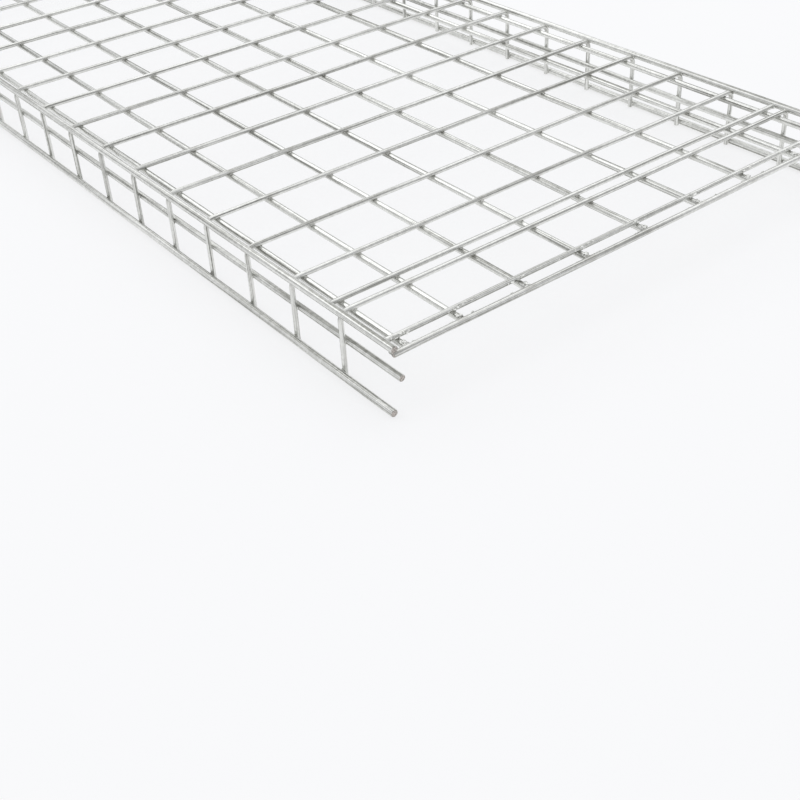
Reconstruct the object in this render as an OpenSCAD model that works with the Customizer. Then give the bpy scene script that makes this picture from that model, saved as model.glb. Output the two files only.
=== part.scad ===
// Welded wire mesh panel with its two long sides bent down into flanges.
// It rests on the flanges: X runs across, Y along the panel, Z up, origin on the floor in the middle.

/* [Mesh] */
// Cells across the panel
columns = 8; // [2:1:14]
// Cells along the panel
rows = 18; // [4:1:40]
// Distance between neighbouring wires, the same both ways
pitch = 50; // [25:1:100]
// Height of the deck above the floor, to the top of the cross wires
deck_h = 45; // [30:1:80]

/* [Wires] */
// Thickness of the cross wires, which end in the flanges
cross_d = 3.5; // [2:0.5:6]
// Thickness of the wires that run along under the deck
long_d = 4.5; // [2:0.5:8]
// Thickness of the two border rods along each long side
edge_d = 5; // [3:0.5:10]
// Thickness of the border rod across each end
end_d = 4; // [2:0.5:8]
// How far two wires sink into each other at a weld
weld_sink = 0.6; // [0.3:0.1:0.9]

/* [Edges] */
// From a flange to the wire that doubles its border rod
side_gap = 9.5; // [9:0.5:20]
// From an end border rod to the wire that doubles it
end_gap = 10; // [6:0.5:20]
// From the first bent wire to the wire that doubles it
bend_gap = 12; // [6:0.5:20]
// Bend radius of the cross wires, at their middle line
bend_r = 6; // [4:0.5:8]

/* [Hidden] */
sides = 8;
flat_turn = 180 / sides;
flat_gain = 1 / cos(flat_turn);
half_w = columns * pitch / 2;
half_l = rows * pitch / 2;
cross_z = deck_h - cross_d / 2;
long_z = cross_z - (cross_d + long_d) / 2 + weld_sink;
rod_off = (cross_d + edge_d) / 2 - weld_sink;
top_rod_shift = (bend_r + rod_off) / sqrt(2) - bend_r;
top_rod_x = half_w + top_rod_shift;
top_rod_z = cross_z + top_rod_shift;
low_rod_x = half_w + rod_off;
low_rod_z = edge_d / 2;
mid_wire_x = half_w - (cross_d + long_d) / 2 + weld_sink;
mid_wire_z = (top_rod_z + low_rod_z) / 2;
end_z = top_rod_z - (edge_d + end_d) / 2 + weld_sink;
long_half = half_l - end_d / 2 + weld_sink;
rod_half = half_l + end_d / 2;
zinc = [0.80, 0.80, 0.78];

module section(d) {
    rotate([0, 0, flat_turn])
        circle(r = d / 2 * flat_gain, $fn = sides);
}

module bar(d, length) {
    rotate([0, 0, flat_turn])
        cylinder(r = d / 2 * flat_gain, h = length, center = true, $fn = sides);
}

module along(d, half) {
    rotate([90, 0, 0])
        bar(d, 2 * half);
}

module across(d, half) {
    rotate([0, 90, 0])
        bar(d, 2 * half);
}

module bent_end() {
    leg = cross_z - bend_r;
    translate([half_w - bend_r, 0, leg])
        rotate([90, 0, 0])
            rotate_extrude(angle = 90)
                translate([bend_r, 0])
                    section(cross_d);
    translate([half_w, 0, leg / 2])
        bar(cross_d, leg);
}

module cross_wire() {
    translate([0, 0, cross_z])
        across(cross_d, half_w - bend_r);
    bent_end();
    mirror([1, 0, 0])
        bent_end();
}

module deck_wires() {
    for (i = [1 : columns - 1])
        translate([i * pitch - half_w, 0, long_z])
            along(long_d, long_half);
    for (side = [-1, 1])
        translate([side * (half_w - side_gap), 0, long_z])
            along(long_d, long_half);
    for (j = [1 : rows - 1])
        translate([0, j * pitch - half_l, 0])
            cross_wire();
}

module side_rods() {
    for (side = [-1, 1]) {
        translate([side * top_rod_x, 0, top_rod_z])
            along(edge_d, rod_half);
        translate([side * mid_wire_x, 0, mid_wire_z])
            along(long_d, rod_half);
        translate([side * low_rod_x, 0, low_rod_z])
            along(edge_d, rod_half);
    }
}

module end_rods() {
    for (side = [-1, 1]) {
        translate([0, side * half_l, end_z])
            across(end_d, top_rod_x);
        for (inset = [end_gap, pitch + bend_gap])
            translate([0, side * (half_l - inset), cross_z])
                across(cross_d, top_rod_x);
    }
}

module mesh_panel() {
    color(zinc)
        union() {
            deck_wires();
            side_rods();
            end_rods();
        }
}

mesh_panel();
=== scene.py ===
"""Looks of a welded wire mesh panel: round zinc-coated wires, cut ends, weld beads and the studio around them.

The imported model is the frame. Each group of like wires is one joined mesh made from its own sizes, in metres,
with X across the panel, Y along it and Z up.
"""

import math

import bpy
import numpy as np
from mathutils import Matrix, Vector


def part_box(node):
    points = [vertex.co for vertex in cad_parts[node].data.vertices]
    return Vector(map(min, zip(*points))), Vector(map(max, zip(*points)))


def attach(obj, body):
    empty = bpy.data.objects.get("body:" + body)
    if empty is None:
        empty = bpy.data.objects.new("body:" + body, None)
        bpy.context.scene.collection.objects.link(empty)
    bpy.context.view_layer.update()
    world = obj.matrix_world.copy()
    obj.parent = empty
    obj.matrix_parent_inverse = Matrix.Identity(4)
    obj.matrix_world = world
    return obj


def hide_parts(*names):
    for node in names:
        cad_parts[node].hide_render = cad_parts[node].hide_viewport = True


bl_info = {
    "name": "Welded Mesh Panel",
    "version": (1, 0, 0),
    "blender": (4, 5, 0),
    "location": "3D View > Sidebar > Mesh Panel",
    "description": "Builds a flanged panel of welded, zinc-coated wire on a studio floor",
    "category": "Add Mesh",
}

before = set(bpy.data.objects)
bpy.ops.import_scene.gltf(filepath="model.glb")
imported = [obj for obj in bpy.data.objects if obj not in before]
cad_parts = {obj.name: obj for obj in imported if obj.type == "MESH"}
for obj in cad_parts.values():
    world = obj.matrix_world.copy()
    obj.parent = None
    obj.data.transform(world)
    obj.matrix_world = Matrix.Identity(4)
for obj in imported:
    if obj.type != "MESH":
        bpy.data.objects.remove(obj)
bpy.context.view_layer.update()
NODE, BODY, SLOT = "mesh_panel", "root", "zinc_wire"
CAD_LOW, CAD_HIGH = (np.array(corner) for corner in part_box(NODE))
MM = 0.001
X_AXIS, Y_AXIS = np.eye(3)[:2]
LEVEL = np.eye(3)

# Each piece draws its chances from a row of its own.
SEEDS = {"long_wires": 11, "cross_wires": 23, "border_rods": 37, "end_rods": 41, "weld_beads": 53}
SHARP_ANGLE = math.radians(50)
BEND_RINGS = 9

# The lengths in metres of the waves by which a wire strays aside, strays up and swells.
ASIDE_WAVE, UPRIGHT_WAVE, SWELL_WAVE = 0.31, 0.23, 0.045
# The wander upright as a share of the wander aside, and the swell as a share of the wire.
UPRIGHT_SHARE, SWELL_SHARE = 0.6, 0.012
# Each wave is a sum of three: the length and the height of each, as shares of the whole.
WAVE_PARTS = ((1.0, 0.6), (0.43, 0.3), (0.19, 0.1))
# A held wire strays less and less over this distance from its ends.
HELD_RUN = 20 * MM
# A sheared end: its rim as a share of the wire, its slant and the run kept clear of other rings in burrs.
RIM_SHARE, SLANT_BURRS, CLEAR_BURRS = 0.9, 0.8, 1.5
# The most by which the slant turns, in radians, and by which the noise of a wire is shifted, in metres.
SLANT_TURN, NOISE_SHIFT = 6, 7

# Half sizes of the weld beads and zinc drops in millimetres, along their own X, Y and Z.
DECK_BEAD, LEG_BEAD, BEND_BEAD = (1.9, 1.95, 0.7), (2.1, 2.1, 0.9), (2.2, 2.2, 0.9)
DOUBLE_BEAD, CORNER_BEAD, BUTT_BEAD = (1.0, 2.3, 2.1), (2.4, 2.0, 0.9), (2.0, 1.0, 2.0)
BACK_DROP, SHOULDER_DROP = (0.9, 1.2, 0.8), (1.4, 0.7, 0.65)
BEAD_ROUGHNESS, END_BEAD_ROUGHNESS = 0.16, 0.22
FOOT_BEAD_LIFT, END_BEAD_SHIFT = 0.2 * MM, 0.3 * MM
DROP_SHAPE = {"rough": 0.3, "around": 8, "layers": 5, "kind": 1}
# How many drops lie on a wire's back, and on a shoulder of the end pair: the least, and one more than the most.
BACK_DROPS, SHOULDER_DROPS = (4, 7), (7, 12)
# In millimetres: the width and the run of the drops on a wire's back, and their spread along a shoulder.
BACK_WIDTH, BACK_RUN, SHOULDER_SPREAD = 3.6, 3.4, 40
# In degrees: how low on its shoulder a drop may lie, and over how wide an angle the drops lie.
SHOULDER_LOW, SHOULDER_ANGLE = -5, 60

# Shares of the drawn lines and of the patches in the tone and in the relief of the zinc coat.
LINE_TONE, PATCH_TONE, LINE_RELIEF, PATCH_RELIEF = 0.75, 0.25, 0.7, 0.15
# How much rougher the coat is where it is dark, and where the weld heat dulled it.
DARK_ROUGHNESS, HEAT_ROUGHNESS = 0.14, 0.12
# How much of the weld tone shows there, and how metallic every finish of the panel is.
HEAT_TONE, METAL_SHARE = 0.2, 0.9

# The lamps: place, size and watts. They are aimed at the floor under the middle of the panel.
LAMPS = {
    "right_lamp": ((1.3, -0.1, 2.35), (1.3, 3.4), 8),
    "back_lamp": ((-0.2, 1.75, 2.0), (3.4, 1.3), 9.5),
}
# The floor's half size in metres, and how far it lies under the panel's feet.
FLOOR_HALF, FLOOR_DROP = 30.0, 0.05 * MM
# The level direction from the near wall of the room to the far one, and where along it they blend.
FAR_SIDE, FAR_BLEND = (0.5, 0.87, 0.0), (-0.4, 0.4)
# How high in the room the backdrop blends into the walls, and the walls into the ceiling.
WALL_BLEND, CEILING_BLEND = (0.02, 0.26), (0.26, 0.76)
# The camera's picture width in millimetres, and how near it sees in metres.
SENSOR_WIDTH, CLIP_START = 36.0, 0.01


class PanelSizes(bpy.types.PropertyGroup):
    """The wires of the panel and where they run."""

    columns: bpy.props.IntProperty(name="Columns", description="Cells across the panel", default=8, min=2)
    rows: bpy.props.IntProperty(name="Rows", description="Cells along the panel", default=18, min=4)
    pitch: bpy.props.FloatProperty(
        name="Pitch", description="Distance between neighbouring wires",
        default=50 * MM, unit="LENGTH", subtype="DISTANCE",
    )
    deck_height: bpy.props.FloatProperty(
        name="Deck height", description="Height of the tops of the cross wires above the floor",
        default=45 * MM, unit="LENGTH", subtype="DISTANCE",
    )
    cross_wire: bpy.props.FloatProperty(
        name="Cross wire", description="Thickness of the wires that are bent down at both ends",
        default=3.5 * MM, unit="LENGTH", subtype="DISTANCE",
    )
    long_wire: bpy.props.FloatProperty(
        name="Long wire", description="Thickness of the wires that run along under the deck",
        default=4.5 * MM, unit="LENGTH", subtype="DISTANCE",
    )
    border_rod: bpy.props.FloatProperty(
        name="Border rod", description="Thickness of the rods along each long side",
        default=5 * MM, unit="LENGTH", subtype="DISTANCE",
    )
    end_rod: bpy.props.FloatProperty(
        name="End rod", description="Thickness of the rod across each end",
        default=4 * MM, unit="LENGTH", subtype="DISTANCE",
    )
    weld_sink: bpy.props.FloatProperty(
        name="Weld sink", description="How far two wires sink into each other at a weld",
        default=0.6 * MM, unit="LENGTH", subtype="DISTANCE",
    )
    side_gap: bpy.props.FloatProperty(
        name="Side gap", description="From a flange to the wire that doubles its border rod",
        default=9.5 * MM, unit="LENGTH", subtype="DISTANCE",
    )
    end_gap: bpy.props.FloatProperty(
        name="End gap", description="From an end rod to the wire that doubles it",
        default=10 * MM, unit="LENGTH", subtype="DISTANCE",
    )
    bend_gap: bpy.props.FloatProperty(
        name="Bend gap", description="From the first bent wire to the wire that doubles it",
        default=12 * MM, unit="LENGTH", subtype="DISTANCE",
    )
    bend_radius: bpy.props.FloatProperty(
        name="Bend radius", description="Radius of the bends of the cross wires at their middle line",
        default=6 * MM, unit="LENGTH", subtype="DISTANCE",
    )


class WireLook(bpy.types.PropertyGroup):
    """How round, straight and rough the wires are."""

    sides: bpy.props.IntProperty(name="Sides", description="Faces round each wire", default=16, min=8)
    ring_step: bpy.props.FloatProperty(
        name="Ring step", description="Distance between the rings of a wire",
        default=8 * MM, unit="LENGTH", subtype="DISTANCE",
    )
    wander: bpy.props.FloatProperty(
        name="Wander", description="How far a wire strays from a straight line",
        default=0.16 * MM, unit="LENGTH", subtype="DISTANCE",
    )
    burr: bpy.props.FloatProperty(
        name="Burr", description="Chamfer and slant of a sheared wire end",
        default=0.3 * MM, unit="LENGTH", subtype="DISTANCE",
    )
    zinc_light: bpy.props.FloatVectorProperty(
        name="Light zinc", description="Colour of the bright zinc coat",
        default=(0.88, 0.885, 0.855), subtype="COLOR", min=0, max=1,
    )
    zinc_dark: bpy.props.FloatVectorProperty(
        name="Dark zinc", description="Colour of the coat in its drawn lines and dull patches",
        default=(0.26, 0.26, 0.235), subtype="COLOR", min=0, max=1,
    )
    weld_tone: bpy.props.FloatVectorProperty(
        name="Weld tone", description="Colour of the coat that the weld heat has dulled",
        default=(0.40, 0.385, 0.34), subtype="COLOR", min=0, max=1,
    )
    cut_tone: bpy.props.FloatVectorProperty(
        name="Cut tone", description="Colour of the bare steel on a sheared end",
        default=(0.66, 0.60, 0.565), subtype="COLOR", min=0, max=1,
    )


class StudioLook(bpy.types.PropertyGroup):
    """The floor, the lamps and the camera."""

    floor_tone: bpy.props.FloatVectorProperty(
        name="Floor tone", description="Colour of the studio floor",
        default=(0.94, 0.95, 0.985), subtype="COLOR", min=0, max=1,
    )
    floor_glow: bpy.props.FloatProperty(
        name="Floor glow", description="Share of plain white that the floor shows", default=0.70, min=0, max=1,
        subtype="FACTOR",
    )
    backdrop_tone: bpy.props.FloatVectorProperty(
        name="Backdrop tone", description="Colour of the room where it meets the floor",
        default=(0.84, 0.845, 0.87), subtype="COLOR", min=0, max=1,
    )
    far_wall_tone: bpy.props.FloatVectorProperty(
        name="Far wall tone", description="Colour of the wall beyond the panel, above the backdrop",
        default=(0.68, 0.685, 0.70), subtype="COLOR", min=0, max=1,
    )
    near_wall_tone: bpy.props.FloatVectorProperty(
        name="Near wall tone", description="Colour of the wall on the camera's side, above the backdrop",
        default=(0.28, 0.285, 0.30), subtype="COLOR", min=0, max=1,
    )
    ceiling_tone: bpy.props.FloatVectorProperty(
        name="Ceiling tone", description="Colour of the room overhead",
        default=(0.86, 0.865, 0.88), subtype="COLOR", min=0, max=1,
    )
    camera_place: bpy.props.FloatVectorProperty(
        name="Camera place", description="Where the camera stands",
        default=(-0.5206, -0.8939, 0.41655), subtype="XYZ", unit="LENGTH",
    )
    camera_azimuth: bpy.props.FloatProperty(
        name="Azimuth", description="How far the view turns from +Y towards +X",
        default=math.radians(36.01), subtype="ANGLE",
    )
    camera_drop: bpy.props.FloatProperty(
        name="Drop", description="How far the view looks down", default=math.radians(36.66), subtype="ANGLE",
    )
    camera_roll: bpy.props.FloatProperty(
        name="Roll", description="How far the camera leans about its view", default=math.radians(-3.54),
        subtype="ANGLE",
    )
    camera_lens: bpy.props.FloatProperty(
        name="Lens", description="Focal length in millimetres on a 36 mm wide picture", default=54.88, min=10,
    )


class Layout:
    """Every place that follows from the sizes, in metres."""

    def __init__(self, sizes):
        self.size = sizes
        s = sizes
        self.half_w = s.columns * s.pitch / 2
        self.half_l = s.rows * s.pitch / 2
        self.cross_z = s.deck_height - s.cross_wire / 2
        self.long_z = self.cross_z - (s.cross_wire + s.long_wire) / 2 + s.weld_sink
        self.weld_z = self.cross_z - (s.cross_wire - s.weld_sink) / 2
        self.rod_off = (s.cross_wire + s.border_rod) / 2 - s.weld_sink
        shift = (s.bend_radius + self.rod_off) / math.sqrt(2) - s.bend_radius
        self.top_rod_x, self.top_rod_z = self.half_w + shift, self.cross_z + shift
        self.low_rod_x, self.low_rod_z = self.half_w + self.rod_off, s.border_rod / 2
        self.mid_wire_x = self.half_w - (s.cross_wire + s.long_wire) / 2 + s.weld_sink
        self.mid_wire_z = (self.top_rod_z + self.low_rod_z) / 2
        self.rod_half = self.half_l + s.end_rod / 2
        self.long_half = self.half_l - s.end_rod / 2 + s.weld_sink
        self.end_z = self.top_rod_z - (s.border_rod + s.end_rod) / 2 + s.weld_sink
        self.ends = [-self.half_l, self.half_l]
        insets = (s.end_gap, s.pitch + s.bend_gap)
        self.doubles = [side * (self.half_l - inset) for side in (-1, 1) for inset in insets]
        self.long_xs = [i * s.pitch - self.half_w for i in range(1, s.columns)]
        self.long_xs += [side * (self.half_w - s.side_gap) for side in (-1, 1)]
        self.cross_ys = [j * s.pitch - self.half_l for j in range(1, s.rows)]


class MeshPile:
    """One joined mesh in the making: points, faces, each face's material and each point's place on its wire."""

    def __init__(self):
        self.points, self.places, self.quads, self.fans, self.quad_kinds, self.fan_kinds = [], [], [], [], [], []
        self.count = 0

    def add(self, points, places, quads, fans, quad_kind, fan_kind):
        self.points.append(points)
        self.places.append(places)
        self.quads.append(quads + self.count)
        self.quad_kinds.append(np.full(len(quads), quad_kind))
        self.fans.append(fans + self.count)
        self.fan_kinds.append(np.full(len(fans), fan_kind))
        self.count += len(points)

    def build(self, name, materials):
        """Makes the object, kept inside the CAD node's box, and hands it to the frame."""
        drop(name)
        points = np.clip(np.concatenate(self.points), CAD_LOW, CAD_HIGH)
        mesh = bpy.data.meshes.new(name)
        faces = [face for block in self.quads + self.fans for face in block.tolist()]
        mesh.from_pydata(points.tolist(), [], faces)
        kinds = np.concatenate(self.quad_kinds + self.fan_kinds)
        mesh.polygons.foreach_set("material_index", kinds.astype(np.int32))
        mesh.polygons.foreach_set("use_smooth", np.ones(len(faces), bool))
        place = mesh.attributes.new("wire_place", "FLOAT_VECTOR", "POINT")
        place.data.foreach_set("vector", np.concatenate(self.places).astype(np.float32).ravel())
        mesh.set_sharp_from_angle(angle=SHARP_ANGLE)
        for material in materials:
            mesh.materials.append(material)
        mesh.validate()
        piece = bpy.data.objects.new(name, mesh)
        bpy.context.scene.collection.objects.link(piece)
        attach(piece, BODY)
        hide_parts(NODE)


def drop(name):
    """Removes an object of that name, so that an operator can be run again."""
    old = bpy.data.objects.get(name)
    if old is not None:
        bpy.data.objects.remove(old, do_unlink=True)


def waves(rng, along, reach, longest):
    """A smooth random line of about reach, as a sum of three waves, for each distance in along."""
    line = np.zeros_like(along)
    for part, share in WAVE_PARTS:
        line += share * np.sin(2 * math.pi * (along / (longest * part) + rng.random()))
    return reach * line


def even_steps(length, step):
    return np.linspace(0, length, max(2, int(math.ceil(length / step)) + 1))


def straight(start, end, step):
    """Middle line of a straight wire, with its direction at each point and each point's distance along it."""
    start, end = np.array(start, float), np.array(end, float)
    length = np.linalg.norm(end - start)
    steps = even_steps(length, step)
    way = (end - start) / length
    return start + steps[:, None] * way, np.tile(way, (len(steps), 1)), steps


def bent_cross(layout, y, look, foot):
    """The same three of a cross wire: up one leg, round the bend, over the deck and down the other side."""
    s = layout.size
    leg = layout.cross_z - s.bend_radius
    points, ways, places = [], [], []
    up = np.arange(foot, leg, look.ring_step)
    for z in up:
        points.append((-layout.half_w, y, z))
        ways.append((0, 0, 1))
        places.append(z - foot)
    for k in range(BEND_RINGS):
        a = math.pi / 2 * k / (BEND_RINGS - 1)
        points.append((
            -layout.half_w + s.bend_radius * (1 - math.cos(a)), y, leg + s.bend_radius * math.sin(a),
        ))
        ways.append((math.sin(a), 0, math.cos(a)))
        places.append(leg - foot + s.bend_radius * a)
    flat = layout.half_w - s.bend_radius
    for x in even_steps(flat, look.ring_step)[1:]:
        points.append((x - flat, y, layout.cross_z))
        ways.append((1, 0, 0))
        places.append(places[BEND_RINGS + len(up) - 1] + x)
    points, ways, places = np.array(points), np.array(ways, float), np.array(places)
    back = slice(-2, None, -1)
    mirror = points[back] * (-1, 1, 1)
    turned = ways[back] * (1, 1, -1)
    return (
        np.concatenate([points, mirror]), np.concatenate([ways, turned]),
        np.concatenate([places, 2 * places[-1] - places[back]]),
    )


def double_ends(row):
    """The row with its first and last entries given twice."""
    return np.concatenate([row[:1], row, row[-1:]])


def add_wire(pile, line, thickness, normal, look, rng, held=False):
    """Sweeps a round wire along a middle line that lies in the plane square to normal, with sheared ends."""
    points, ways, places = line
    radius, sides = thickness / 2, look.sides
    side = np.cross(ways, normal)
    length = places[-1]
    grip = np.clip(np.minimum(places, length - places) / HELD_RUN, 0, 1) if held else 1.0
    points = points + (waves(rng, places, look.wander, ASIDE_WAVE) * grip)[:, None] * np.array(normal)
    points = points + (waves(rng, places, look.wander * UPRIGHT_SHARE, UPRIGHT_WAVE) * grip)[:, None] * side
    swell = 1 - SWELL_SHARE + waves(rng, places, SWELL_SHARE, SWELL_WAVE)
    # The end ring is the rim of the sheared face, and the ring a burr before it is the foot of its chamfer.
    burr = look.burr
    clear = burr * CLEAR_BURRS
    keep = (places > places[0] + clear) & (places < places[-1] - clear)
    keep[[0, -1]] = True
    points, ways, side, places, swell = (double_ends(row[keep]) for row in (points, ways, side, places, swell))
    points[1] += ways[1] * burr
    points[-2] -= ways[-2] * burr
    places[1] += burr
    places[-2] -= burr
    swell[[0, -1]] *= RIM_SHARE
    angle = np.arange(sides) * 2 * math.pi / sides + rng.random()
    cos, sin = np.cos(angle), np.sin(angle)
    rim = cos[None, :, None] * np.array(normal)[None, None, :] + sin[None, :, None] * side[:, None, :]
    tube = points[:, None, :] + rim * (radius * swell)[:, None, None]
    slant = burr * SLANT_BURRS * np.cos(angle + rng.random() * SLANT_TURN)
    tube[0] += ways[0] * np.abs(slant)[:, None]
    tube[-1] -= ways[-1] * np.abs(slant)[:, None]
    rings = len(points)
    offset = rng.random() * NOISE_SHIFT
    spot = np.empty((rings, sides, 3))
    spot[..., 0], spot[..., 1], spot[..., 2] = cos * radius, sin * radius, (places + offset)[:, None]
    caps = np.stack([tube[0].mean(0), tube[-1].mean(0)])
    cap_spots = np.array([(0, 0, offset), (0, 0, offset + places[-1])])
    at = np.arange(rings * sides).reshape(rings, sides)
    ahead = np.roll(at, -1, axis=1)
    quads = np.stack([at[:-1], ahead[:-1], ahead[1:], at[1:]], -1).reshape(-1, 4)
    low, high = rings * sides, rings * sides + 1
    fans = np.concatenate([
        np.stack([ahead[0], at[0], np.full(sides, low)], -1),
        np.stack([at[-1], ahead[-1], np.full(sides, high)], -1),
    ])
    if np.dot(np.cross(rim[0, 0], rim[0, 1]), ways[0]) < 0:
        quads, fans = quads[:, ::-1], fans[:, ::-1]
    pile.add(
        np.concatenate([tube.reshape(-1, 3), caps]), np.concatenate([spot.reshape(-1, 3), cap_spots]),
        quads, fans, quad_kind=0, fan_kind=1,
    )


def lumpy(rng, sizes, least=0.9, spread=0.25):
    """Half sizes of one bead in metres, each changed by chance."""
    return np.array(sizes) * MM * (least + spread * rng.random(3))


def add_bead(pile, centre, reach, turn, rng, rough=BEAD_ROUGHNESS, around=10, layers=6, kind=0):
    """Adds a lumpy pillow of metal, with half sizes reach along the columns of turn."""
    lump = rng.random(4) * 2 * math.pi
    points = [(0, 0, -1.0)]
    for k in range(1, layers):
        tilt = math.pi * k / layers - math.pi / 2
        for m in range(around):
            spin = 2 * math.pi * m / around
            points.append((math.cos(tilt) * math.cos(spin), math.cos(tilt) * math.sin(spin), math.sin(tilt)))
    points.append((0, 0, 1.0))
    ball = np.array(points)
    spin = np.arctan2(ball[:, 1], ball[:, 0])
    flat = np.hypot(ball[:, 0], ball[:, 1])
    grow = 1 + rough * flat * (
        0.5 * np.sin(2 * spin + lump[0]) + 0.35 * np.sin(3 * spin + lump[1])
        + 0.3 * np.sin(5 * spin + lump[2]) + 0.3 * np.sin(4 * ball[:, 2] + lump[3])
    )
    shaped = ball * grow[:, None] * np.array(reach)
    world = shaped @ np.array(turn).T + np.array(centre)
    quads, fans = [], []
    for m in range(around):
        n = (m + 1) % around
        fans.append((0, 1 + n, 1 + m))
        top = 1 + (layers - 2) * around
        fans.append((len(points) - 1, top + m, top + n))
        for k in range(layers - 2):
            a = 1 + k * around
            quads.append((a + m, a + n, a + around + n, a + around + m))
    spots = shaped + rng.random(3)
    pile.add(world, spots, np.array(quads), np.array(fans), kind, kind)


def new_group(name, inputs, outputs):
    """A fresh shader node group with named sockets. Returns its tree, input node and output node."""
    old = bpy.data.node_groups.get(name)
    if old is not None:
        bpy.data.node_groups.remove(old)
    tree = bpy.data.node_groups.new(name, "ShaderNodeTree")
    for label, default in inputs:
        socket = tree.interface.new_socket(name=label, in_out="INPUT", socket_type="NodeSocketFloat")
        socket.default_value = default
    for label, kind in outputs:
        tree.interface.new_socket(name=label, in_out="OUTPUT", socket_type=kind)
    return tree, tree.nodes.new("NodeGroupInput"), tree.nodes.new("NodeGroupOutput")


def math_node(tree, operation, first, second=None, third=None, clamp=False):
    node = tree.nodes.new("ShaderNodeMath")
    node.operation, node.use_clamp = operation, clamp
    for k, value in enumerate((first, second, third)):
        if value is None:
            continue
        if isinstance(value, (int, float)):
            node.inputs[k].default_value = value
        else:
            tree.links.new(value, node.inputs[k])
    return node.outputs[0]


def remap(tree, value, low, high, to_low=0.0, to_high=1.0, smooth=True):
    node = tree.nodes.new("ShaderNodeMapRange")
    node.interpolation_type = "SMOOTHSTEP" if smooth else "LINEAR"
    tree.links.new(value, node.inputs["Value"])
    for name, number in (("From Min", low), ("From Max", high), ("To Min", to_low), ("To Max", to_high)):
        if isinstance(number, (int, float)):
            node.inputs[name].default_value = number
        else:
            tree.links.new(number, node.inputs[name])
    return node.outputs["Result"]


def blend_colours(tree, factor, first, second):
    node = tree.nodes.new("ShaderNodeMix")
    node.data_type = "RGBA"
    for socket, value in ((node.inputs["Factor"], factor), (node.inputs["A"], first), (node.inputs["B"], second)):
        if isinstance(value, bpy.types.NodeSocket):
            tree.links.new(value, socket)
        else:
            socket.default_value = (*value, 1)
    return next(o for o in node.outputs if o.type == "RGBA")


def noise_of(tree, vector, scale, detail, roughness):
    node = tree.nodes.new("ShaderNodeTexNoise")
    tree.links.new(vector, node.inputs["Vector"])
    node.inputs["Scale"].default_value = scale
    node.inputs["Detail"].default_value = detail
    node.inputs["Roughness"].default_value = roughness
    return node.outputs["Fac"]


def place_vector(tree, across, along):
    """The place on the wire, scaled by across round it and by along down its length."""
    place = tree.nodes.new("ShaderNodeAttribute")
    place.attribute_type, place.attribute_name = "GEOMETRY", "wire_place"
    stretch = tree.nodes.new("ShaderNodeVectorMath")
    stretch.operation = "MULTIPLY"
    tree.links.new(place.outputs["Vector"], stretch.inputs[0])
    stretch.inputs[1].default_value = (across, across, along)
    return stretch.outputs["Vector"]


def weighed_sum(tree, first, first_share, second, second_share, clamp=False):
    shares = math_node(tree, "MULTIPLY", first, first_share), math_node(tree, "MULTIPLY", second, second_share)
    return math_node(tree, "ADD", *shares, clamp=clamp)


def bumped(tree, shader, height, strength, distance):
    """Turns a height into the shader's normal."""
    bump = tree.nodes.new("ShaderNodeBump")
    bump.inputs["Strength"].default_value = strength
    bump.inputs["Distance"].default_value = distance
    tree.links.new(height, bump.inputs["Height"])
    tree.links.new(bump.outputs["Normal"], shader.inputs["Normal"])


def drawn_lines_group():
    """Fine lines that the drawing die leaves along a wire: their tone and the height of their relief."""
    tree, given, result = new_group(
        "Drawn Lines", [("Contrast", 1.0)], [("Tone", "NodeSocketFloat"), ("Height", "NodeSocketFloat")]
    )
    fine = noise_of(tree, place_vector(tree, across=1500, along=8), scale=1.0, detail=3.0, roughness=0.6)
    broad = noise_of(tree, place_vector(tree, across=700, along=5), scale=1.0, detail=2.0, roughness=0.5)
    both = weighed_sum(tree, fine, 0.55, broad, 0.45)
    tone = remap(tree, both, low=0.35, high=0.57)
    middle = math_node(tree, "SUBTRACT", tone, 0.5)
    strong = math_node(tree, "MULTIPLY_ADD", middle, given.outputs["Contrast"], 0.5, clamp=True)
    tree.links.new(strong, result.inputs["Tone"])
    tree.links.new(both, result.inputs["Height"])


def zinc_patches_group():
    """Crystal patches and slow changes of tone in the zinc coat, with its small runs and pits as height."""
    tree, given, result = new_group(
        "Zinc Patches", [("Amount", 1.0)], [("Tone", "NodeSocketFloat"), ("Height", "NodeSocketFloat")]
    )
    where = place_vector(tree, across=1, along=1)
    crystals = tree.nodes.new("ShaderNodeTexVoronoi")
    crystals.feature = "F1"
    tree.links.new(where, crystals.inputs["Vector"])
    crystals.inputs["Scale"].default_value = 420
    grey = tree.nodes.new("ShaderNodeRGBToBW")
    tree.links.new(crystals.outputs["Color"], grey.inputs["Color"])
    slow = noise_of(tree, where, scale=55, detail=3.0, roughness=0.55)
    lumps = noise_of(tree, where, scale=330, detail=2.0, roughness=0.5)
    mixed = weighed_sum(tree, grey.outputs[0], 0.4, slow, 0.6)
    tone = remap(tree, mixed, low=0.3, high=0.7)
    middle = math_node(tree, "SUBTRACT", tone, 0.5)
    strong = math_node(tree, "MULTIPLY_ADD", middle, given.outputs["Amount"], 0.5, clamp=True)
    tree.links.new(strong, result.inputs["Tone"])
    tree.links.new(lumps, result.inputs["Height"])


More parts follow.
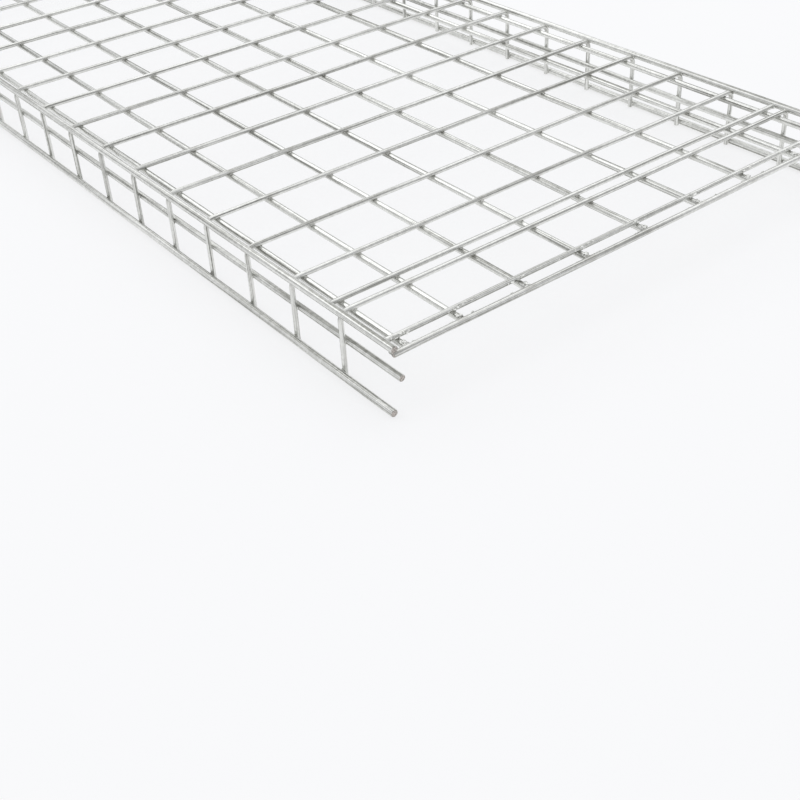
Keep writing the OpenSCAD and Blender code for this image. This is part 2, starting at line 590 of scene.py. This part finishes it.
def weld_heat_group(layout):
    """A mask that is one on the welds of the deck and fades out at Reach from them, ragged at its edge."""
    s = layout.size
    tree, given, result = new_group("Weld Heat", [("Reach", 5 * MM)], [("Mask", "NodeSocketFloat")])
    where = tree.nodes.new("ShaderNodeTexCoord")
    parts = tree.nodes.new("ShaderNodeSeparateXYZ")
    tree.links.new(where.outputs["Object"], parts.inputs[0])
    drop_down = math_node(tree, "SUBTRACT", parts.outputs["Z"], layout.weld_z)
    square = math_node(tree, "MULTIPLY", drop_down, drop_down)
    for axis in ("X", "Y"):
        cells = math_node(tree, "DIVIDE", parts.outputs[axis], s.pitch)
        off = math_node(tree, "SUBTRACT", cells, math_node(tree, "ROUND", cells))
        aside = math_node(tree, "MULTIPLY", off, s.pitch)
        square = math_node(tree, "MULTIPLY_ADD", aside, aside, square)
    away = math_node(tree, "SQRT", square)
    ragged = noise_of(tree, place_vector(tree, across=1, along=1), scale=600, detail=2.0, roughness=0.6)
    edge = math_node(tree, "MULTIPLY_ADD", math_node(tree, "SUBTRACT", ragged, 0.5), 5 * MM, away)
    tree.links.new(remap(tree, edge, given.outputs["Reach"], 2 * MM), result.inputs["Mask"])


def add_group(tree, name, **values):
    node = tree.nodes.new("ShaderNodeGroup")
    node.node_tree = bpy.data.node_groups[name]
    for label, value in values.items():
        node.inputs[label].default_value = value
    return node


def fresh_material(name):
    old = bpy.data.materials.get(name)
    if old is not None:
        bpy.data.materials.remove(old)
    material = bpy.data.materials.new(name)
    material.use_nodes = True
    tree = material.node_tree
    tree.nodes.clear()
    shader = tree.nodes.new("ShaderNodeBsdfPrincipled")
    output = tree.nodes.new("ShaderNodeOutputMaterial")
    tree.links.new(shader.outputs[0], output.inputs["Surface"])
    return material, tree, shader


def zinc_material(name, look, contrast, patches, heat, sheen, relief):
    """Zinc-coated wire: light and dark coat mixed by the drawn lines and patches, dulled round its welds."""
    _, tree, shader = fresh_material(name)
    lines = add_group(tree, "Drawn Lines", Contrast=contrast)
    coat = add_group(tree, "Zinc Patches", Amount=patches)
    mixed = weighed_sum(tree, lines.outputs["Tone"], LINE_TONE, coat.outputs["Tone"], PATCH_TONE, clamp=True)
    colour = blend_colours(tree, mixed, tuple(look.zinc_dark), tuple(look.zinc_light))
    rough = remap(tree, mixed, 0.0, 1.0, sheen + DARK_ROUGHNESS, sheen, smooth=False)
    if heat:
        scorch = add_group(tree, "Weld Heat", Reach=heat)
        factor = math_node(tree, "MULTIPLY", scorch.outputs["Mask"], HEAT_TONE)
        colour = blend_colours(tree, factor, colour, tuple(look.weld_tone))
        rough = math_node(tree, "MULTIPLY_ADD", scorch.outputs["Mask"], HEAT_ROUGHNESS, rough, clamp=True)
    tree.links.new(colour, shader.inputs["Base Color"])
    tree.links.new(rough, shader.inputs["Roughness"])
    shader.inputs["Metallic"].default_value = METAL_SHARE
    height = weighed_sum(tree, lines.outputs["Height"], LINE_RELIEF, coat.outputs["Height"], PATCH_RELIEF)
    bumped(tree, shader, height, strength=relief, distance=0.12 * MM)


def cut_material(name, look):
    """Sheared end: a smooth band and a torn grey one across the bare steel."""
    _, tree, shader = fresh_material(name)
    torn = noise_of(tree, place_vector(tree, across=1500, along=400), scale=1.0, detail=4.0, roughness=0.7)
    grain = noise_of(tree, place_vector(tree, across=1, along=1), scale=2600, detail=3.0, roughness=0.7)
    factor = remap(tree, torn, low=0.4, high=0.62)
    colour = blend_colours(tree, factor, tuple(look.cut_tone), tuple(look.zinc_dark))
    tree.links.new(colour, shader.inputs["Base Color"])
    tree.links.new(remap(tree, torn, 0.3, 0.7, 0.38, 0.6, smooth=False), shader.inputs["Roughness"])
    shader.inputs["Metallic"].default_value = METAL_SHARE
    bumped(tree, shader, grain, strength=0.6, distance=0.1 * MM)


def bead_material(name, look, dullest, scorch):
    """Weld metal or zinc drops: bright where the zinc pooled, brown-grey in the pits by the share scorch."""
    _, tree, shader = fresh_material(name)
    coat = add_group(tree, "Zinc Patches", Amount=1.4)
    pits = noise_of(tree, place_vector(tree, across=1, along=1), scale=900, detail=3.0, roughness=0.6)
    factor = math_node(tree, "MULTIPLY", remap(tree, pits, low=0.46, high=0.7), scorch)
    shine = remap(tree, coat.outputs["Tone"], 0.0, 1.0, dullest, 1.0, smooth=False)
    bright = blend_colours(tree, shine, tuple(look.zinc_dark), tuple(look.zinc_light))
    tree.links.new(blend_colours(tree, factor, bright, tuple(look.weld_tone)), shader.inputs["Base Color"])
    tree.links.new(remap(tree, pits, 0.3, 0.7, 0.2, 0.45, smooth=False), shader.inputs["Roughness"])
    shader.inputs["Metallic"].default_value = METAL_SHARE
    height = math_node(tree, "ADD", coat.outputs["Height"], pits)
    bumped(tree, shader, height, strength=0.8, distance=0.25 * MM)


def make_finishes(layout, look):
    """Makes every finish of the panel once, by name."""
    if "Zinc Long Wire" in bpy.data.materials:
        return
    drawn_lines_group()
    zinc_patches_group()
    weld_heat_group(layout)
    zinc_material("Zinc Long Wire", look, contrast=2.2, patches=0.7, heat=6 * MM, sheen=0.20, relief=0.6)
    zinc_material("Zinc Cross Wire", look, contrast=1.25, patches=0.7, heat=6 * MM, sheen=0.28, relief=0.45)
    zinc_material("Zinc Border Rod", look, contrast=1.25, patches=0.8, heat=0, sheen=0.28, relief=0.5)
    cut_material("Sheared Steel", look)
    bead_material("Weld Metal", look, dullest=0.1, scorch=0.4)
    bead_material("Zinc Drops", look, dullest=0.6, scorch=0.1)


def at_hand(context, name):
    """The panel's layout and look, with its finishes made, and the random row and empty pile of one piece."""
    layout, look = Layout(context.scene.panel_sizes), context.scene.wire_look
    make_finishes(layout, look)
    return layout, look, np.random.RandomState(SEEDS[name]), MeshPile()


def finishes(*names):
    return [bpy.data.materials[name] for name in names]


class MESHPANEL_OT_long_wires(bpy.types.Operator):
    """Adds the wires that run along under the deck"""

    bl_idname = "mesh_panel.long_wires"
    bl_label = "Long wires"

    def execute(self, context):
        layout, look, rng, pile = at_hand(context, "long_wires")
        for x in layout.long_xs:
            ends = layout.long_half - look.burr * rng.random(2)
            line = straight((x, -ends[0], layout.long_z), (x, ends[1], layout.long_z), look.ring_step)
            add_wire(pile, line, layout.size.long_wire, X_AXIS, look, rng)
        pile.build("long_wires", finishes("Zinc Long Wire", "Sheared Steel"))
        return {"FINISHED"}


class MESHPANEL_OT_cross_wires(bpy.types.Operator):
    """Adds the cross wires, each bent down at both ends into the legs of the flanges"""

    bl_idname = "mesh_panel.cross_wires"
    bl_label = "Cross wires"

    def execute(self, context):
        layout, look, rng, pile = at_hand(context, "cross_wires")
        for y in layout.cross_ys:
            line = bent_cross(layout, y, look, look.burr * rng.random())
            add_wire(pile, line, layout.size.cross_wire, Y_AXIS, look, rng)
        pile.build("cross_wires", finishes("Zinc Cross Wire", "Sheared Steel"))
        return {"FINISHED"}


class MESHPANEL_OT_border_rods(bpy.types.Operator):
    """Adds the rods along both long sides: outside the bend, behind the legs and at their feet"""

    bl_idname = "mesh_panel.border_rods"
    bl_label = "Border rods"

    def execute(self, context):
        layout, look, rng, pile = at_hand(context, "border_rods")
        s = layout.size
        for side in (-1, 1):
            for x, z, thickness in (
                (layout.top_rod_x, layout.top_rod_z, s.border_rod),
                (layout.mid_wire_x, layout.mid_wire_z, s.long_wire),
                (layout.low_rod_x, layout.low_rod_z, s.border_rod),
            ):
                ends = layout.rod_half - look.burr * rng.random(2)
                line = straight((side * x, -ends[0], z), (side * x, ends[1], z), look.ring_step)
                add_wire(pile, line, thickness, X_AXIS, look, rng)
        pile.build("border_rods", finishes("Zinc Border Rod", "Sheared Steel"))
        return {"FINISHED"}


class MESHPANEL_OT_end_rods(bpy.types.Operator):
    """Adds the rod across each end, and the straight wires that double it and the first bent wire"""

    bl_idname = "mesh_panel.end_rods"
    bl_label = "End rods"

    def execute(self, context):
        layout, look, rng, pile = at_hand(context, "end_rods")
        s, reach = layout.size, layout.top_rod_x
        for ys, z, thickness in (
            (layout.ends, layout.end_z, s.end_rod), (layout.doubles, layout.cross_z, s.cross_wire),
        ):
            for y in ys:
                line = straight((-reach, y, z), (reach, y, z), look.ring_step)
                add_wire(pile, line, thickness, Y_AXIS, look, rng, held=True)
        pile.build("end_rods", finishes("Zinc Cross Wire", "Sheared Steel"))
        return {"FINISHED"}


class MESHPANEL_OT_weld_beads(bpy.types.Operator):
    """Adds the squeezed metal round each weld, and the zinc drops at the end rods"""

    bl_idname = "mesh_panel.weld_beads"
    bl_label = "Weld beads"

    def execute(self, context):
        layout, _, rng, pile = at_hand(context, "weld_beads")
        s = layout.size
        for y in layout.cross_ys + layout.doubles:
            for x in layout.long_xs:
                add_bead(pile, (x, y, layout.weld_z), lumpy(rng, DECK_BEAD), LEVEL, rng)
        upright = np.array([(0, 0, 1), (0, 1, 0), (-1, 0, 0)], float).T
        lean = math.sqrt(0.5)
        off = (s.bend_radius + s.cross_wire / 2 - s.weld_sink / 2) * lean
        for side in (-1, 1):
            for x, z in (
                (layout.low_rod_x - s.border_rod / 2, layout.low_rod_z + FOOT_BEAD_LIFT),
                (layout.mid_wire_x + s.long_wire / 2, layout.mid_wire_z),
            ):
                for y in layout.cross_ys:
                    add_bead(pile, (side * x, y, z), lumpy(rng, LEG_BEAD), upright, rng)
            tilted = np.array([(lean, 0, -side * lean), (0, 1, 0), (side * lean, 0, lean)], float).T
            x, z = side * (layout.half_w - s.bend_radius + off), layout.cross_z - s.bend_radius + off
            for y in layout.cross_ys:
                add_bead(pile, (x, y, z), lumpy(rng, BEND_BEAD), tilted, rng)
            x = side * (layout.top_rod_x - s.border_rod / 2 + END_BEAD_SHIFT)
            for y in layout.doubles:
                reach = lumpy(rng, DOUBLE_BEAD)
                add_bead(pile, (x, y, layout.cross_z), reach, LEVEL, rng, END_BEAD_ROUGHNESS)
            z = layout.end_z + (s.end_rod - s.weld_sink) / 2
            for y in layout.ends:
                reach = lumpy(rng, CORNER_BEAD)
                add_bead(pile, (side * layout.top_rod_x, y, z), reach, LEVEL, rng, END_BEAD_ROUGHNESS)
        for end in layout.ends:
            inward = -math.copysign(1, end)
            joint = end + inward * s.end_rod / 2
            for x in layout.long_xs:
                reach = lumpy(rng, BUTT_BEAD, spread=0.2)
                add_bead(pile, (x, joint, layout.long_z + END_BEAD_SHIFT), reach, LEVEL, rng, END_BEAD_ROUGHNESS)
                self.splash(pile, layout, x, end, inward, rng)
        pile.build("weld_beads", finishes("Weld Metal", "Zinc Drops"))
        return {"FINISHED"}

    @staticmethod
    def splash(pile, layout, x, end, inward, rng):
        """Adds the drops where a long wire butts an end rod: on its back, and on the end pair's facing shoulders."""
        s = layout.size
        for _ in range(rng.randint(*BACK_DROPS)):
            aside = (rng.random() - 0.5) * BACK_WIDTH * MM
            back = s.end_rod / 2 + BACK_RUN * MM * rng.random()
            top = layout.long_z + math.sqrt((s.long_wire / 2) ** 2 - aside ** 2)
            reach = lumpy(rng, BACK_DROP, least=0.6, spread=0.8)
            add_bead(pile, (x + aside, end + inward * back, top), reach, LEVEL, rng, **DROP_SHAPE)
        for y, facing, height, thickness in (
            (end, inward, layout.end_z, s.end_rod),
            (end + inward * s.end_gap, -inward, layout.cross_z, s.cross_wire),
        ):
            for _ in range(rng.randint(*SHOULDER_DROPS)):
                lean = math.radians(SHOULDER_LOW + SHOULDER_ANGLE * rng.random())
                aside = (rng.random() - 0.5) * SHOULDER_SPREAD * MM * rng.random()
                aside = min(max(aside, -layout.top_rod_x - x), layout.top_rod_x - x)
                out, up = thickness / 2 * math.cos(lean), thickness / 2 * math.sin(lean)
                reach = lumpy(rng, SHOULDER_DROP, least=0.5, spread=0.9)
                add_bead(pile, (x + aside, y + facing * out, height + up), reach, LEVEL, rng, **DROP_SHAPE)


def floor_finish(studio):
    """Pale floor that shows plain white besides its shaded colour, so that it stays near white and keeps shadows."""
    material, tree, shader = fresh_material("Studio Floor")
    output = next(n for n in tree.nodes if n.type == "OUTPUT_MATERIAL")
    shader.inputs["Base Color"].default_value = (*studio.floor_tone, 1)
    shader.inputs["Roughness"].default_value = 0.75
    shader.inputs["Specular IOR Level"].default_value = 0.1
    glow = tree.nodes.new("ShaderNodeEmission")
    glow.inputs["Color"].default_value = (1, 1, 1, 1)
    rays = tree.nodes.new("ShaderNodeLightPath")
    seen = math_node(tree, "MAXIMUM", rays.outputs["Is Camera Ray"], rays.outputs["Is Glossy Ray"])
    seen = math_node(tree, "MAXIMUM", seen, rays.outputs["Is Transmission Ray"])
    both = tree.nodes.new("ShaderNodeMixShader")
    tree.links.new(math_node(tree, "MULTIPLY", seen, studio.floor_glow), both.inputs["Fac"])
    tree.links.new(shader.outputs[0], both.inputs[1])
    tree.links.new(glow.outputs[0], both.inputs[2])
    tree.links.new(both.outputs[0], output.inputs["Surface"])
    return material


def light_room(world, studio):
    """A plain room: a pale backdrop, then walls, darker on the camera's side, under a pale ceiling."""
    world.use_nodes = True
    tree = world.node_tree
    tree.nodes.clear()
    way = tree.nodes.new("ShaderNodeTexCoord")
    parts = tree.nodes.new("ShaderNodeSeparateXYZ")
    tree.links.new(way.outputs["Generated"], parts.inputs[0])
    low = remap(tree, parts.outputs["Z"], *WALL_BLEND)
    high = remap(tree, parts.outputs["Z"], *CEILING_BLEND)
    back = tree.nodes.new("ShaderNodeBackground")
    beyond = tree.nodes.new("ShaderNodeVectorMath")
    beyond.operation = "DOT_PRODUCT"
    tree.links.new(way.outputs["Generated"], beyond.inputs[0])
    beyond.inputs[1].default_value = FAR_SIDE
    far = remap(tree, beyond.outputs["Value"], *FAR_BLEND)
    wall = blend_colours(tree, far, tuple(studio.near_wall_tone), tuple(studio.far_wall_tone))
    tone = blend_colours(tree, low, tuple(studio.backdrop_tone), wall)
    tone = blend_colours(tree, high, tone, tuple(studio.ceiling_tone))
    tree.links.new(tone, back.inputs["Color"])
    output = tree.nodes.new("ShaderNodeOutputWorld")
    tree.links.new(back.outputs[0], output.inputs["Surface"])


def add_lamp(name, place, size, watts):
    drop(name)
    data = bpy.data.lights.new(name, "AREA")
    data.shape, data.size, data.size_y, data.energy = "RECTANGLE", *size, watts
    lamp = bpy.data.objects.new(name, data)
    lamp.location = place
    lamp.rotation_euler = (-Vector(place)).to_track_quat("-Z", "Y").to_euler()
    bpy.context.scene.collection.objects.link(lamp)


class MESHPANEL_OT_studio(bpy.types.Operator):
    """Adds the pale floor, the soft lamps, the room and the camera"""

    bl_idname = "mesh_panel.studio"
    bl_label = "Studio"

    def execute(self, context):
        scene, studio = context.scene, context.scene.studio_look
        drop("studio_floor")
        mesh = bpy.data.meshes.new("studio_floor")
        corners = [(x * FLOOR_HALF, y * FLOOR_HALF, 0) for x, y in ((-1, -1), (1, -1), (1, 1), (-1, 1))]
        mesh.from_pydata(corners, [], [(0, 1, 2, 3)])
        mesh.materials.append(floor_finish(studio))
        floor = bpy.data.objects.new("studio_floor", mesh)
        floor.location.z = -FLOOR_DROP
        scene.collection.objects.link(floor)

        scene.world = scene.world or bpy.data.worlds.new("Room")
        light_room(scene.world, studio)
        for name, lamp in LAMPS.items():
            add_lamp(name, *lamp)

        drop("main_camera")
        data = bpy.data.cameras.new("main_camera")
        data.sensor_width, data.lens, data.clip_start = SENSOR_WIDTH, studio.camera_lens, CLIP_START
        camera = bpy.data.objects.new("main_camera", data)
        turn = (
            Matrix.Rotation(-studio.camera_azimuth, 4, "Z")
            @ Matrix.Rotation(math.pi / 2 - studio.camera_drop, 4, "X")
            @ Matrix.Rotation(studio.camera_roll, 4, "Z")
        )
        camera.matrix_world = Matrix.Translation(studio.camera_place) @ turn
        scene.collection.objects.link(camera)
        scene.camera = camera
        scene.view_settings.view_transform = "Standard"
        return {"FINISHED"}


class MESHPANEL_PT_sidebar(bpy.types.Panel):
    """Lists the steps that build the panel"""

    bl_idname = "MESHPANEL_PT_sidebar"
    bl_label = "Mesh Panel"
    bl_space_type = "VIEW_3D"
    bl_region_type = "UI"
    bl_category = "Mesh Panel"

    def draw(self, context):
        for operator in OPERATORS:
            self.layout.operator(operator.bl_idname)
        for group in (context.scene.panel_sizes, context.scene.wire_look, context.scene.studio_look):
            box = self.layout.box()
            for name in group.__annotations__:
                box.prop(group, name)


GROUPS = {"panel_sizes": PanelSizes, "wire_look": WireLook, "studio_look": StudioLook}
OPERATORS = (
    MESHPANEL_OT_long_wires, MESHPANEL_OT_cross_wires, MESHPANEL_OT_border_rods, MESHPANEL_OT_end_rods,
    MESHPANEL_OT_weld_beads, MESHPANEL_OT_studio,
)


def register():
    for made in (*GROUPS.values(), *OPERATORS, MESHPANEL_PT_sidebar):
        bpy.utils.register_class(made)
    for name, group in GROUPS.items():
        setattr(bpy.types.Scene, name, bpy.props.PointerProperty(type=group))


def unregister():
    for name in GROUPS:
        delattr(bpy.types.Scene, name)
    for made in reversed((*GROUPS.values(), *OPERATORS, MESHPANEL_PT_sidebar)):
        bpy.utils.unregister_class(made)


def main():
    register()
    bpy.ops.mesh_panel.long_wires()
    bpy.ops.mesh_panel.cross_wires()
    bpy.ops.mesh_panel.border_rods()
    bpy.ops.mesh_panel.end_rods()
    bpy.ops.mesh_panel.weld_beads()
    bpy.ops.mesh_panel.studio()
    bpy.context.view_layer.update()


if __name__ == "__main__":
    main()
